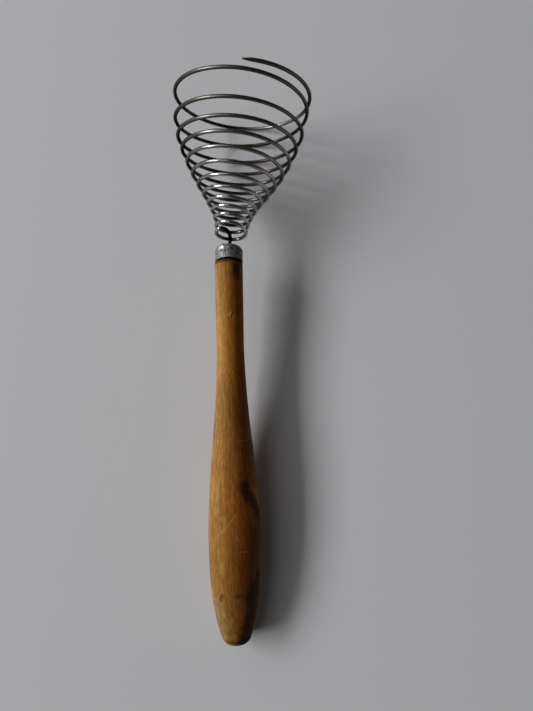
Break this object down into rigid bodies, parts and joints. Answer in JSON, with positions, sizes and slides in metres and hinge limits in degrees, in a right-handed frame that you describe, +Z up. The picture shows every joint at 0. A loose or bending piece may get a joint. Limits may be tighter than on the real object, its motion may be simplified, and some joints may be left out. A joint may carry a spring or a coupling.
{
  "type": "spiral whisk",
  "caption": "Hand whisk with a bell-shaped coil of tinned wire that is held in a turned wooden handle by a tin ferrule, for beating eggs and cream.",
  "frame": {"origin": "on the table, under the middle of the whisk's box as it lies on its belly and on the rim of its coil", "axes": "+Y along the whisk from the butt towards the coil, +Z up from the table, +X to the right seen from the butt"},
  "size_m": [0.0578, 0.224, 0.0576],
  "materials": {
    "handle_wood": "worn, oiled, fine lengthwise grain with dark stains",
    "ferrule_tin": "dull drawn tin, pitted and dented",
    "tinned_wire": "tinned wire, bright by the neck and blackened towards the rim, with brown tarnish"
  },
  "bodies": {
    "handle": {"wooden_handle": "handle_wood", "ferrule": "ferrule_tin"},
    "coil": {"wire_coil": "tinned_wire"}
  },
  "joints": [
    {"name": "coil_press", "type": "slide", "parent": "handle", "child": "coil", "axis": [0, -1, 0], "range_m": [0, 0.03], "stiffness_N_per_m": 67, "deforming": ["wire_coil"]}
  ]
}
